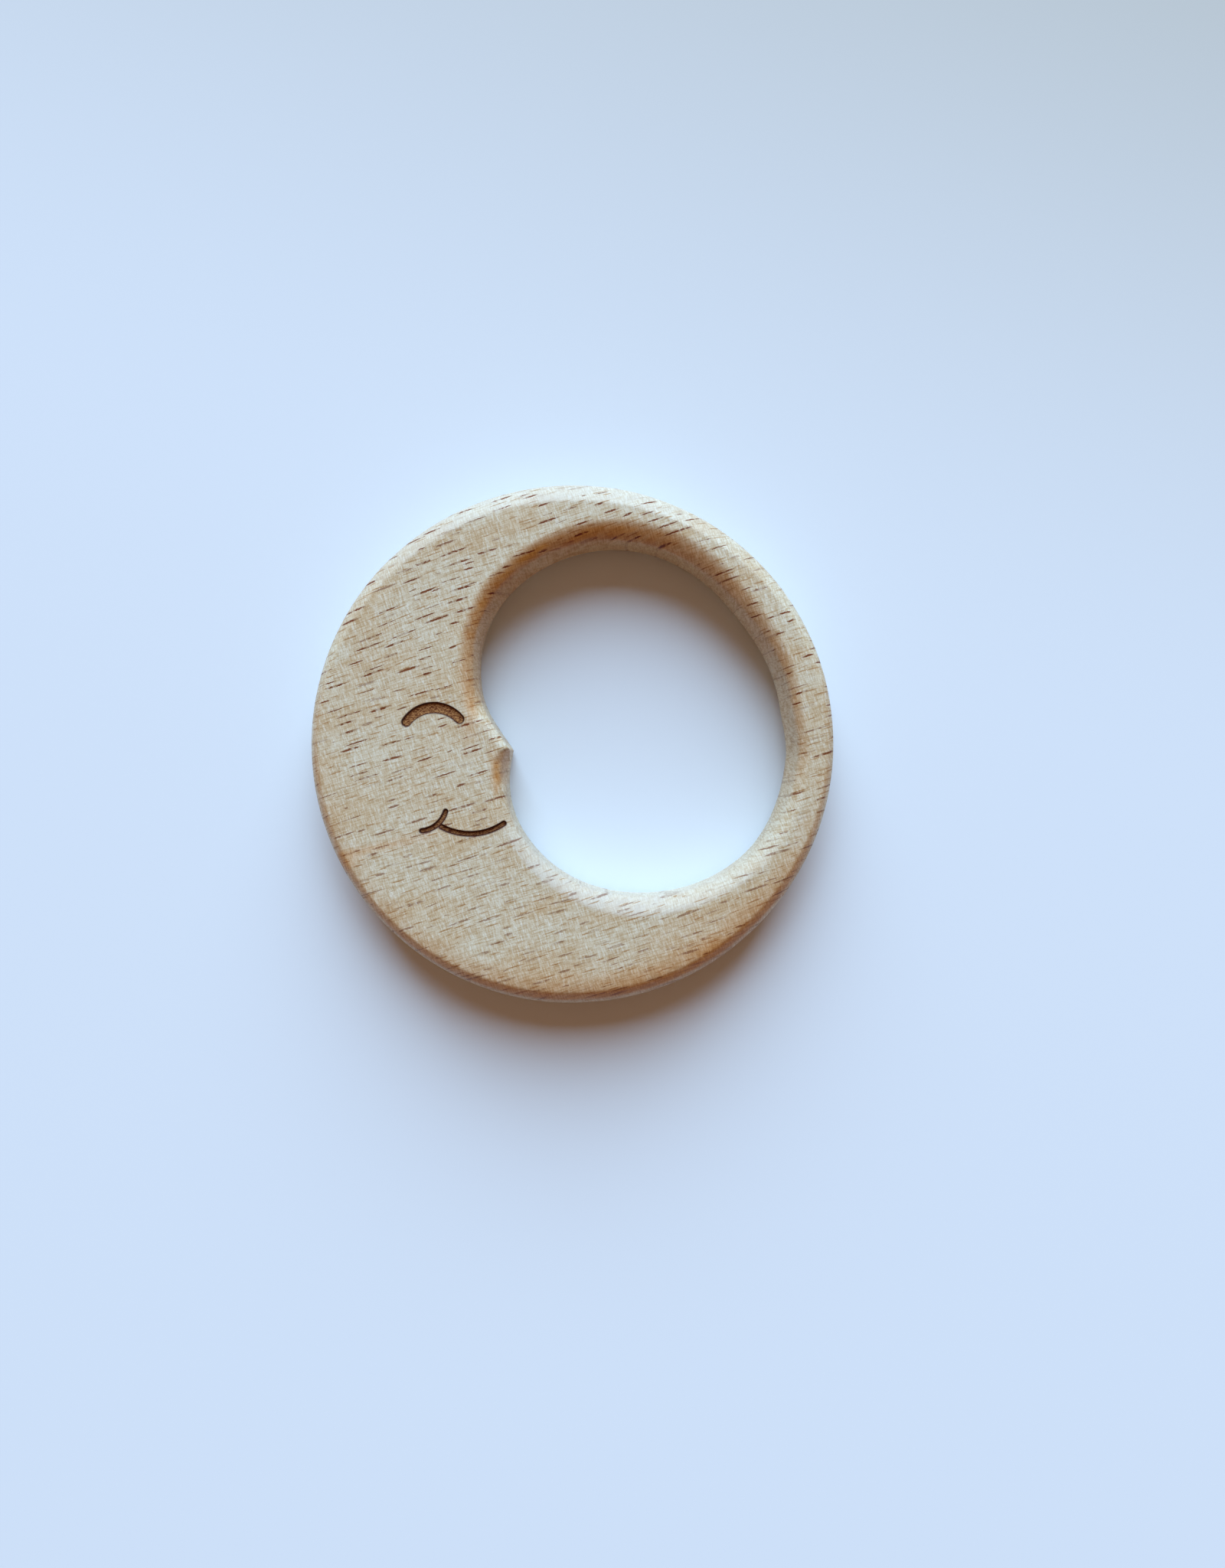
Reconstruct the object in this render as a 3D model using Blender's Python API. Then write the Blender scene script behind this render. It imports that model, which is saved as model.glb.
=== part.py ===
"""Teething ring: a crescent moon cut from one board of beech.

The moon is round outside. A rounded hole, off to one side, leaves a slim grip on the right and a
wide crescent on the left, whose inner edge is a face in profile: brow, nose and chin. The closed
eye and the smile are shallow grooves in the front face. Every edge is eased by hand: it falls away
from the face at a crease and curves down to a soft ridge at the top of the upright wall.

The frame: +Z out of the engraved front face, +Y from the chin to the brow, +X from the face to
the grip, and the origin on the back face, in the middle of the round outline.
"""

import math

import bmesh
import bpy
import numpy as np
from mathutils import Vector
from mathutils.geometry import delaunay_2d_cdt, interpolate_bezier

MM = 0.001

OUTER_RADIUS = 37.5 * MM
THICKNESS = 11.0 * MM
NOSE_TIP_RADIUS = 0.35 * MM
GROOVE_DEPTH = 0.45 * MM

# The eased edge's slope in degrees at the crease and at the ridge. The back is eased a little less.
HOLE_SLOPES = (15.0, 74.0)
OUTSIDE_SLOPES = (28.0, 70.0)
BACK_SHARE = 0.8

# Places along the hole's edge, in order from the nose over the top, and how far in from the edge
# the crease lies there, in millimetres.
HOLE_EASED = (
    ((-9.0, -0.9), 0.8),
    ((-9.9, 0.5), 1.2),
    ((-11.3, 2.8), 2.3),
    ((-12.6, 5.4), 1.9),
    ((-13.7, 11.7), 2.1),
    ((-9.7, 21.3), 2.6),
    ((-4.7, 25.7), 2.9),
    ((7.5, 28.9), 3.1),
    ((22.7, 20.8), 2.5),
    ((30.3, 6.1), 2.3),
    ((28.6, -11.2), 2.2),
    ((8.4, -22.0), 2.7),
    ((-5.6, -15.5), 2.4),
    ((-9.3, -9.0), 1.9),
    ((-9.2, -2.6), 1.6),
)

# The same round the outside: an angle in degrees from +X and the crease's distance.
OUTSIDE_EASED = (
    (0.0, 1.0),
    (28.0, 1.5),
    (50.0, 2.2),
    (90.0, 2.9),
    (130.0, 2.4),
    (160.0, 1.5),
    (180.0, 1.2),
    (228.0, 1.5),
    (312.0, 1.6),
    (340.0, 1.2),
)

# The hole's edge, as smooth knots from the nose up over the brow, round the grip and back up the
# chin to the nose: x and y in millimetres, and the heading of the edge in degrees from +X.
HOLE_KNOTS = (
    (-9.0, -0.9, 123.0),
    (-13.4, 7.3, 101.0),
    (-13.7, 11.7, 89.0),
    (-4.7, 25.7, 31.0),
    (7.5, 28.9, -4.0),
    (22.7, 20.8, -50.0),
    (30.3, 6.1, -82.0),
    (31.3, -2.0, -95.0),
    (24.0, -17.4, -142.0),
    (8.4, -22.0, 177.0),
    (-5.6, -15.5, 131.0),
    (-9.5, -6.1, 90.0),
    (-9.0, -0.9, 85.0),
)

# Each groove follows the arc through three points, in millimetres, and has round ends. Its width
# grows from the ends to the middle.
GROOVES = {
    "eye": {"arc": ((-23.6, 2.94), (-19.65, 4.98), (-16.05, 3.37)), "end": 1.44, "middle": 1.64},
    "mouth": {"arc": ((-18.6, -12.08), (-14.2, -13.09), (-9.75, -11.58)), "end": 0.86, "middle": 0.86},
    "cheek": {"arc": ((-21.4, -12.63), (-19.27, -11.80), (-18.0, -9.85)), "end": 0.78, "middle": 0.84},
}

OUTER_POINTS = 120
HOLE_STEP = 1.3 * MM
TIP_POINTS = 3
EASED_SHARES = (0.1, 0.3, 0.55, 0.8, 1.0)
LEAST_GAP = 0.12 * MM
INSET_TOLERANCE = 0.02 * MM
INSET_SHARE = 0.97
GROOVE_STEPS = 20
CAP_STEPS = 6
CUTTER_HEIGHT = 2.0 * MM
SHARP_ANGLE = math.radians(35.0)

BEECH_COLOUR = (0.55, 0.42, 0.28, 1.0)
BEECH_ROUGHNESS = 0.6


def heading_vector(degrees):
    return Vector((math.cos(math.radians(degrees)), math.sin(math.radians(degrees))))


def smooth_stretch(start, end):
    """The edge from one knot up to the next, without its last point."""
    turn = (math.radians(end[2] - start[2]) + math.pi) % math.tau - math.pi
    first = Vector(start[:2]) * MM
    last = Vector(end[:2]) * MM
    chord = (last - first).length
    # With this handle length the curve is a circle's arc wherever its two ends mirror each other.
    handle = chord / (3.0 * math.cos(turn / 4.0) ** 2)
    leaving = first + heading_vector(start[2]) * handle
    arriving = last - heading_vector(end[2]) * handle
    steps = round(chord / HOLE_STEP)
    curve = interpolate_bezier(first, leaving, arriving, last, steps + 1)
    return [point.to_2d() for point in curve[:-1]]


def nose_tip():
    """The centre of the arc that rounds the nose, and its first and last heading."""
    below, above = HOLE_KNOTS[-1][2], HOLE_KNOTS[0][2]
    inward = heading_vector((below + above) / 2.0 + 90.0)
    to_centre = NOSE_TIP_RADIUS / math.cos(math.radians(above - below) / 2.0)
    return Vector(HOLE_KNOTS[0][:2]) * MM + inward * to_centre, below, above


def hole_outline():
    centre, below, above = nose_tip()
    points = []
    for index in range(TIP_POINTS):
        heading = below + (above - below) * index / (TIP_POINTS - 1)
        points.append(centre + heading_vector(heading - 90.0) * NOSE_TIP_RADIUS)
    for start, end in zip(HOLE_KNOTS[:-1], HOLE_KNOTS[1:]):
        points += smooth_stretch(start, end)
    # The sharp corner of the nose's own knot lies outside its rounded tip.
    del points[TIP_POINTS]
    return points


def outer_outline():
    turns = range(OUTER_POINTS)
    return [heading_vector(360.0 * turn / OUTER_POINTS) * OUTER_RADIUS for turn in turns]


def sides(loop):
    return zip(loop, loop[1:] + loop[:1])


def edge_distance(point, loops):
    """How far a point of the moon lies from its nearest edge."""
    best = math.inf
    for loop in loops:
        for start, end in sides(loop):
            along = end - start
            share = (point - start).dot(along) / along.length_squared
            nearest = start + along * min(1.0, max(0.0, share))
            best = min(best, (point - nearest).length)
    return best


def is_inside(point, loop):
    crossings = 0
    for start, end in sides(loop):
        if (start.y > point.y) != (end.y > point.y):
            x = start.x + (point.y - start.y) / (end.y - start.y) * (end.x - start.x)
            crossings += x > point.x
    return crossings % 2 == 1


def hole_widths(loop):
    """How far in from the hole's edge the crease lies, for each point of the loop."""
    places = []
    for place, _ in HOLE_EASED:
        gaps = [(point - Vector(place) * MM).length for point in loop]
        places.append(gaps.index(min(gaps)))
    widths = [width for _, width in HOLE_EASED]
    return np.interp(range(len(loop)), places, widths, period=len(loop)) * MM


def outside_widths(loop):
    """How far in from the outer edge the crease lies, for each point of the loop."""
    angles = [math.degrees(math.atan2(point.y, point.x)) for point in loop]
    return np.interp(angles, *zip(*OUTSIDE_EASED), period=360.0) * MM


def drop_share(share, slopes):
    """The drop below the flat face, per width of the eased edge, this share of the way in."""
    start, end = (math.sin(math.radians(slope)) for slope in slopes)
    radius = 1.0 / (end - start)
    reached = start + (1.0 - share) * (end - start)
    return radius * (math.sqrt(1.0 - start**2) - math.sqrt(1.0 - reached**2))


def inset_line(loops, loop, widths, slopes, share):
    """Points this share of the way in from an edge to its crease, each with its drop."""
    line = []
    neighbours = zip(loop[-1:] + loop[:-1], loop, loop[1:] + loop[:1], widths)
    for before, point, after, width in neighbours:
        along = (after - before).normalized()
        candidate = point + Vector((-along.y, along.x)) * share * width
        reached = edge_distance(candidate, loops) > INSET_SHARE * share * width - INSET_TOLERANCE
        apart = all((candidate - other).length > LEAST_GAP for other, _ in line)
        if reached and apart:
            line.append((candidate, width * drop_share(share, slopes)))
    return line


def moon_mesh():
    """The front and back faces with their eased edges, and the upright walls between them."""
    loops = (outer_outline(), hole_outline())
    eased = (
        (loops[0], outside_widths(loops[0]), OUTSIDE_SLOPES),
        (loops[1], hole_widths(loops[1]), HOLE_SLOPES),
    )
    placed = []
    rims = []
    for loop, widths, slopes in eased:
        first = len(placed)
        rims += [(first + i, first + (i + 1) % len(loop)) for i in range(len(loop))]
        placed += [(point, width * drop_share(0.0, slopes)) for point, width in zip(loop, widths)]
    for share in EASED_SHARES:
        for loop, widths, slopes in eased:
            placed += inset_line(loops, loop, widths, slopes, share)
    points, drops = zip(*placed)
    found, _, triangles, *_ = delaunay_2d_cdt(points, rims, [], 1, 1e-9)
    if len(found) != len(points):
        raise RuntimeError("the outlines cross a point of the face")

    shape = bmesh.new()
    front = [shape.verts.new((p.x, p.y, THICKNESS - drop)) for p, drop in placed]
    back = [shape.verts.new((p.x, p.y, BACK_SHARE * drop)) for p, drop in placed]
    for triangle in triangles:
        middle = sum((points[i] for i in triangle), Vector((0.0, 0.0))) / 3.0
        if not is_inside(middle, loops[1]):
            shape.faces.new([front[i] for i in triangle])
            shape.faces.new([back[i] for i in reversed(triangle)])
    for i, j in rims:
        shape.faces.new((front[i], back[i], back[j], front[j]))
    bmesh.ops.recalc_face_normals(shape, faces=shape.faces)
    mesh = bpy.data.meshes.new("moon_ring")
    shape.to_mesh(mesh)
    shape.free()
    mesh.shade_smooth()
    mesh.set_sharp_from_angle(angle=SHARP_ANGLE)
    return mesh


def circle_through(first, middle, last):
    """The centre and radius of the circle through three points."""
    a, b = middle - first, last - first
    area = 2.0 * (a.x * b.y - a.y * b.x)
    x = (b.y * a.length_squared - a.y * b.length_squared) / area
    y = (a.x * b.length_squared - b.x * a.length_squared) / area
    offset = Vector((x, y))
    return first + offset, offset.length


def groove_outline(arc, end_width, middle_width):
    """A band along the arc, with a half circle at each end."""
    first, middle, last = (Vector(point) * MM for point in arc)
    centre, radius = circle_through(first, middle, last)
    start = math.atan2(first.y - centre.y, first.x - centre.x)
    sweep = (first - centre).angle_signed(last - centre)
    left, right = [], []
    for step in range(GROOVE_STEPS + 1):
        share = step / GROOVE_STEPS
        angle = start - sweep * share
        out = Vector((math.cos(angle), math.sin(angle)))
        half = 0.5 * MM * (end_width + (middle_width - end_width) * math.sin(math.pi * share))
        left.append(centre + out * (radius + half))
        right.append(centre + out * (radius - half))
    return left + round_end(left[-1], right[-1], sweep) + right[::-1] + round_end(right[0], left[0], sweep)


def round_end(start, end, sweep):
    """The points of a half circle between the two sides of a band."""
    middle = (start + end) / 2.0
    spoke = start - middle
    way = math.copysign(math.pi, sweep)
    points = []
    for step in range(1, CAP_STEPS):
        angle = way * step / CAP_STEPS
        turned = Vector(
            (
                spoke.x * math.cos(angle) + spoke.y * math.sin(angle),
                spoke.y * math.cos(angle) - spoke.x * math.sin(angle),
            )
        )
        points.append(middle + turned)
    return points


def groove_cutter(name, groove):
    """A prism with the groove's outline that reaches down to the groove's floor."""
    shape = bmesh.new()
    floor = THICKNESS - GROOVE_DEPTH
    outline = groove_outline(groove["arc"], groove["end"], groove["middle"])
    face = shape.faces.new([shape.verts.new((p.x, p.y, floor)) for p in outline])
    prism = bmesh.ops.extrude_face_region(shape, geom=[face])
    top = [part for part in prism["geom"] if isinstance(part, bmesh.types.BMVert)]
    bmesh.ops.translate(shape, verts=top, vec=(0.0, 0.0, CUTTER_HEIGHT))
    bmesh.ops.recalc_face_normals(shape, faces=shape.faces)
    mesh = bpy.data.meshes.new(name)
    shape.to_mesh(mesh)
    shape.free()
    cutter = bpy.data.objects.new(name, mesh)
    cutter.hide_render = True
    cutter.display_type = "WIRE"
    return cutter


def beech():
    material = bpy.data.materials.new("beech")
    material.use_nodes = True
    shader = material.node_tree.nodes["Principled BSDF"]
    shader.inputs["Base Color"].default_value = BEECH_COLOUR
    shader.inputs["Roughness"].default_value = BEECH_ROUGHNESS
    shader.inputs["Metallic"].default_value = 0.0
    return material


def main():
    for old in list(bpy.data.objects):
        bpy.data.objects.remove(old, do_unlink=True)
    ring = bpy.data.objects.new("moon_ring", moon_mesh())
    ring.data.materials.append(beech())
    bpy.context.collection.objects.link(ring)
    for name, groove in GROOVES.items():
        cutter = groove_cutter(name + "_cutter", groove)
        bpy.context.collection.objects.link(cutter)
        cut = ring.modifiers.new(name, "BOOLEAN")
        cut.operation = "DIFFERENCE"
        cut.solver = "EXACT"
        cut.object = cutter


main()
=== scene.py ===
"""Looks of the teething ring: a crescent moon of hand-sanded beech with a scorched eye and smile."""

import math

import bpy
import numpy as np
from mathutils import Matrix, Vector, noise
from mathutils.geometry import delaunay_2d_cdt, interpolate_bezier


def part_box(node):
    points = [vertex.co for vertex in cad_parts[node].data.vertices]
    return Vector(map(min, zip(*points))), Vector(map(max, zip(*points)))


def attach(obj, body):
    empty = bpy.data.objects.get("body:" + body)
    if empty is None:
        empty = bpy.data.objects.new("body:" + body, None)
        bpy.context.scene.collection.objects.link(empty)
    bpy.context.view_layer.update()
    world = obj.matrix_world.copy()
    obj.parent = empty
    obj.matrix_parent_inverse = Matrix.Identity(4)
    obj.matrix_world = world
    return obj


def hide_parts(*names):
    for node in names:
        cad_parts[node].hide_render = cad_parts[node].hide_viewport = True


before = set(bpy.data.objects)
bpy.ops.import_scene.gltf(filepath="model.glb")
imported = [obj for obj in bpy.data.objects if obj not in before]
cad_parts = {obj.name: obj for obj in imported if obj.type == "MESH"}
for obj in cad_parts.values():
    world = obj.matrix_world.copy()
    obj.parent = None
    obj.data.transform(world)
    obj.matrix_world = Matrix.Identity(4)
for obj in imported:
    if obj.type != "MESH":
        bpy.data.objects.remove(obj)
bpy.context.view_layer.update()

MM = 0.001

# ---------------------------------------------------------------- sizes, in millimetres

low, high = (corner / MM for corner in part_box("moon_ring"))
OUTER_RADIUS = (high.x - low.x) / 2.0
THICKNESS = high.z - low.z
NOSE_TIP_RADIUS = 0.35

# Every edge falls away from the face at a crease and curves down to a soft ridge: the slope in
# degrees at both ends of that curve, and how far the crease is softened, which is at most a share
# of the eased width. Below the ridge the hole's edge is steep before it meets the upright wall.
# Outside, the face rolls off a little before the crease. The back's edges fall away less.
HOLE_SLOPES = (15.0, 60.0)
OUTSIDE_SLOPES = (30.0, 70.0)
STEEP_SLOPE = math.radians(77.0)
HOLE_SOFTNESS = 0.30
OUTSIDE_SOFTNESS = 0.15
SOFTNESS_LIMIT = 0.4
ROLL_REACH = 2.2
BACK_SHARE = 0.8

# How an eased edge's tone spreads over it, in shares of its width: where the brown comes in and how
# gradually, and where both tones end past the crease and how gradually. Outside, a share of the
# brown reaches further over the face, by so many millimetres, as a halo of painted shade.
HOLE_BROWN_RISE = 0.12
OUTSIDE_BROWN_START = 0.20
OUTSIDE_BROWN_RISE = 0.25
TONE_END = 1.15
HOLE_BROWN_FALL = 0.50
TONE_FALL = 0.20
SHADE_HALO_REACH = 3.0
SHADE_HALO_SHARE = 0.75

# The shares of the tone that the upright wall and the back take on. The wall keeps the wood's own
# colour wherever the brown stays off at least a share of the eased edge. Then how gradually the
# steep part begins, as a share of the eased width.
WALL_SHARE = 0.55
PALE_WALL_SHARE = 0.9
BACK_TONE_SHARE = 0.5
BARE_WALL = 0.4
STEEP_FADE = 0.1

# Places along the hole's edge, in order from the nose over the top: the place, how far in from the
# edge the crease lies, the share of that which is steep, the share that the brown doesn't reach, and
# the eased edge's tone, from brown (1) to pale, fuzzy wood (-1). The brown is partly the cutter's
# burn and partly painted shade, on the edges that face away from the light; the pale is partly
# sanding and partly painted light, a greyer colour on the edges that face it.
HOLE_EDGE = (
    ((-9.0, -0.9), 0.85, 0.25, 0.00, 0.45),
    ((-9.7, 0.2), 0.80, 0.00, 0.00, -0.1),
    ((-11.3, 2.8), 1.45, 0.00, 0.30, -0.3),
    ((-12.6, 5.4), 2.30, 0.08, 0.50, 0.3),
    ((-13.4, 7.6), 2.40, 0.18, 0.20, 0.38),
    ((-13.7, 11.7), 2.40, 0.20, 0.20, 0.52),
    ((-13.0, 15.5), 2.45, 0.25, 0.25, 0.8),
    ((-9.7, 21.3), 2.80, 0.34, 0.34, 1.0),
    ((-4.7, 25.7), 2.90, 0.30, 0.30, 1.0),
    ((1.5, 28.4), 2.95, 0.15, 0.15, 0.95),
    ((7.5, 28.9), 2.85, 0.05, 0.05, 0.9),
    ((16.5, 26.3), 2.70, 0.05, 0.05, 0.65),
    ((22.7, 20.8), 2.35, 0.12, 0.12, 0.55),
    ((28.3, 12.0), 2.50, 0.34, 0.40, 0.45),
    ((30.3, 6.1), 2.50, 0.42, 0.44, 0.4),
    ((31.3, -2.0), 2.50, 0.42, 0.44, 0.3),
    ((28.6, -11.2), 2.55, 0.25, 0.25, -0.05),
    ((24.0, -17.4), 2.30, 0.15, 0.15, -0.4),
    ((8.4, -22.0), 2.65, 0.05, 0.05, -0.85),
    ((-5.6, -15.5), 1.80, 0.05, 0.05, -0.7),
    ((-9.3, -9.0), 1.80, 0.10, 0.85, -0.1),
    ((-9.4, -6.8), 1.80, 0.15, 0.60, 0.35),
    ((-9.4, -4.8), 2.10, 0.36, 0.15, 0.5),
    ((-9.2, -2.6), 2.10, 0.40, 0.00, 0.52),
)

# Round the outside: an angle in degrees from +X, the crease's distance, the slope in degrees that
# the face has rolled off to at the crease, and the tone. Brown tone there is painted shade, on the
# lower and left sides away from the light, and pale tone is painted light, on the top that faces it.
OUTSIDE_EDGE = (
    (0.0, 1.00, 3.0, 0.1),
    (28.0, 1.50, 3.0, 0.0),
    (50.0, 2.10, 3.0, -0.2),
    (70.0, 2.60, 3.0, -0.6),
    (90.0, 2.90, 3.0, -0.75),
    (130.0, 2.40, 3.0, -0.6),
    (160.0, 1.50, 3.0, 0.0),
    (180.0, 1.20, 4.0, 0.3),
    (205.0, 1.30, 5.0, 0.5),
    (228.0, 1.40, 6.0, 0.62),
    (270.0, 1.80, 11.0, 0.85),
    (312.0, 1.80, 11.0, 0.9),
    (340.0, 1.20, 6.0, 0.5),
)

# Browner patches of the front: centre, half length, half width, heading in degrees and amount. The
# one under the nose is painted shade, on the slope there that faces away from the light.
STAINS_AND_SHADE = (
    ((-14.5, 4.4), 4.4, 1.0, 92.0, 0.35),
    # Painted shade under the nose.
    ((-10.9, -4.0), 3.0, 0.7, 98.0, 0.45),
    ((-27.7, -14.9), 6.5, 0.6, 12.0, 0.45),
    ((-33.0, -17.5), 2.6, 1.2, 30.0, 0.45),
    ((19.0, -28.5), 10.0, 4.5, 30.0, 0.22),
    ((-2.0, -33.0), 13.0, 2.6, 0.0, 0.15),
)

# The hole's edge, as smooth knots from the nose up over the brow, round the grip and back up the
# chin to the nose: x, y, and the heading of the edge in degrees from +X.
HOLE_KNOTS = (
    (-9.0, -0.9, 123.0),
    (-13.4, 7.3, 101.0),
    (-13.7, 11.7, 89.0),
    (-4.7, 25.7, 31.0),
    (7.5, 28.9, -4.0),
    (22.7, 20.8, -50.0),
    (30.3, 6.1, -82.0),
    (31.3, -2.0, -95.0),
    (24.0, -17.4, -142.0),
    (8.4, -22.0, 177.0),
    (-5.6, -15.5, 131.0),
    (-9.5, -6.1, 90.0),
    (-9.0, -0.9, 85.0),
)

# Each groove follows the arc through three points: its width at the ends and in the middle, its
# depth, and how pale its scorched floor is.
GROOVES = (
    (((-23.6, 2.94), (-19.65, 4.98), (-16.05, 3.37)), 1.44, 1.64, 0.45, 1.0),
    (((-18.6, -12.03), (-14.2, -13.04), (-9.75, -11.53)), 0.84, 0.84, 0.44, 0.80),
    (((-21.4, -12.58), (-19.27, -11.75), (-18.0, -9.80)), 0.78, 0.84, 0.40, 0.80),
)
GROOVE_WALL = 0.10

# The scorch is nearly full at a groove's edge and fades over the face beside it. The paler floor
# starts a little in from the wall, is rough, and has a faint hatch of tool marks.
BURN_AT_EDGE = 0.8
BURN_FADE = 0.10
FLOOR_EDGE = 0.07
FLOOR_EDGE_SOFTNESS = 0.14
FLOOR_ROUGH_SIZE = 0.22
FLOOR_ROUGH_SEED = 3
FLOOR_ROUGHNESS = 0.12
HATCH_WAY = (0.83, 0.56)
HATCH_STEP = 0.31
HATCH_DEPTH = 0.06

# Hand sanding leaves the board a little uneven and its outline out of round: the size of the waves,
# their height and a seed, and the shares of it that x, y and z take.
UNEVENNESS = ((26.0, 0.07, 1), (9.0, 0.03, 4), (3.2, 0.012, 7))
UNEVEN_SHARES = (1.0, 1.0, 0.35)
SEED_SHIFT = (17.3, 5.1, 9.7)

# How finely the edges and faces are meshed. Lines of points follow each edge at growing distances,
# first by shares of the eased width and then past the crease, and a grid fills the rest.
OUTER_POINTS = 720
HOLE_STEP = 0.30
TIP_STEPS = 6
WALL_ROWS = 7
EASED_STEPS = 11
EASED_CROWDING = 1.3
EASED_GAP_PER_SHARE = 0.7
EASED_GAPS = (0.04, 0.15)
PAST_CREASE = (0.13, 0.30, 0.55, 0.90)
FACE_STEP = 0.62
FACE_GAP = 0.45 * FACE_STEP
FACE_CLEARANCE = 0.3

# Lines round each groove: how far outside its edge, and the step along the line. Inside them a fine
# grid fills the groove, over the area of the face from x to x and from y to y.
GROOVE_LINES = (
    (0.0, 0.12),
    (-GROOVE_WALL, 0.12),
    (0.06, 0.14),
    (-0.18, 0.14),
    (0.2, 0.25),
    (0.5, 0.4),
)
GROOVE_LINE_GAP = 0.045
GROOVE_STEP = 0.11
GROOVE_GAP = 0.6 * GROOVE_STEP
GROOVE_INSET = 0.2
GROOVE_AREA = (-26.0, -8.0, -15.0, 8.0)
RIM_GAP = 0.045
LINE_TOLERANCE = 0.01

# A point of a line along one edge is dropped where it comes nearer to any edge than it should be.
NEAREST_SHARE = 0.98
NEAREST_SLACK = 0.004

# Limits of the working: points measured at a time, a rise that stands for none, the triangulation's
# choice of triangles inside the outlines, and the distance at which it would merge two points.
POINTS_AT_A_TIME = 2048
NO_RISE = 1e-12
INSIDE_OUTLINES = 1
MERGE_WITHIN = 1e-7


# ---------------------------------------------------------------- the outline in the plane


def heading_vector(degrees):
    return Vector((math.cos(math.radians(degrees)), math.sin(math.radians(degrees))))


def smooth_stretch(start, end):
    """The edge from one knot up to the next, without its last point."""
    turn = (math.radians(end[2] - start[2]) + math.pi) % math.tau - math.pi
    first, last = Vector(start[:2]), Vector(end[:2])
    chord = (last - first).length
    handle = chord / (3.0 * math.cos(turn / 4.0) ** 2)
    leaving = first + heading_vector(start[2]) * handle
    arriving = last - heading_vector(end[2]) * handle
    curve = interpolate_bezier(first, leaving, arriving, last, round(chord / HOLE_STEP) + 1)
    return [point.to_2d() for point in curve[:-1]]


def nose_tip():
    """The arc that rounds the tip of the nose, from the chin's side to the brow's."""
    below, above = HOLE_KNOTS[-1][2], HOLE_KNOTS[0][2]
    inward = heading_vector((below + above) / 2.0 + 90.0)
    half_turn = math.radians(above - below) / 2.0
    centre = Vector(HOLE_KNOTS[0][:2]) + inward * (NOSE_TIP_RADIUS / math.cos(half_turn))
    points = []
    for index in range(TIP_STEPS + 1):
        heading = below + (above - below) * index / TIP_STEPS
        points.append(centre + heading_vector(heading - 90.0) * NOSE_TIP_RADIUS)
    return points


def hole_outline():
    points = nose_tip()
    corner = len(points)
    for start, end in zip(HOLE_KNOTS[:-1], HOLE_KNOTS[1:]):
        points += smooth_stretch(start, end)
    # The sharp corner of the nose's own knot lies outside its rounded tip.
    del points[corner]
    return np.array(points)


def outer_outline():
    turn = np.arange(OUTER_POINTS) * math.tau / OUTER_POINTS
    return OUTER_RADIUS * np.column_stack((np.cos(turn), np.sin(turn)))


HOLE = hole_outline()
OUTER = outer_outline()


def nearest_on_hole(points):
    """Distance to the hole's edge, negative inside the hole, and the nearest place along it."""
    along = np.roll(HOLE, -1, axis=0) - HOLE
    length_squared = (along**2).sum(1)
    out = np.empty(len(points))
    place = np.empty(len(points))
    for first in range(0, len(points), POINTS_AT_A_TIME):
        chunk = slice(first, first + POINTS_AT_A_TIME)
        p = points[chunk]
        to_point = p[:, None, :] - HOLE[None]
        share = np.clip((to_point * along).sum(2) / length_squared, 0.0, 1.0)
        gap = to_point - share[..., None] * along
        squared = (gap**2).sum(2)
        nearest = squared.argmin(1)
        rows = np.arange(len(p))
        place[chunk] = nearest + share[rows, nearest]
        distance = np.sqrt(squared[rows, nearest])
        # A line from the point towards +X crosses the outline an odd number of times from inside.
        y0, y1 = HOLE[:, 1], HOLE[:, 1] + along[:, 1]
        crosses = (y0[None] > p[:, 1:]) != (y1[None] > p[:, 1:])
        rise = np.where(along[:, 1] == 0.0, NO_RISE, along[:, 1])
        x = HOLE[:, 0] + (p[:, 1:] - y0[None]) / rise * along[:, 0]
        inside = (crosses & (x > p[:, :1])).sum(1) % 2 == 1
        out[chunk] = np.where(inside, -distance, distance)
    return out, place


def hole_distance(points):
    return nearest_on_hole(points)[0]


def edge_distance(points):
    """How far each point of the moon lies from its nearest edge."""
    return np.minimum(OUTER_RADIUS - np.hypot(points[:, 0], points[:, 1]), hole_distance(points))


def circle_through(first, middle, last):
    a, b = middle - first, last - first
    area = 2.0 * (a[0] * b[1] - a[1] * b[0])
    x = (b[1] * a.dot(a) - a[1] * b.dot(b)) / area
    y = (a[0] * b.dot(b) - b[0] * a.dot(a)) / area
    return first + (x, y), math.hypot(x, y)


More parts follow.
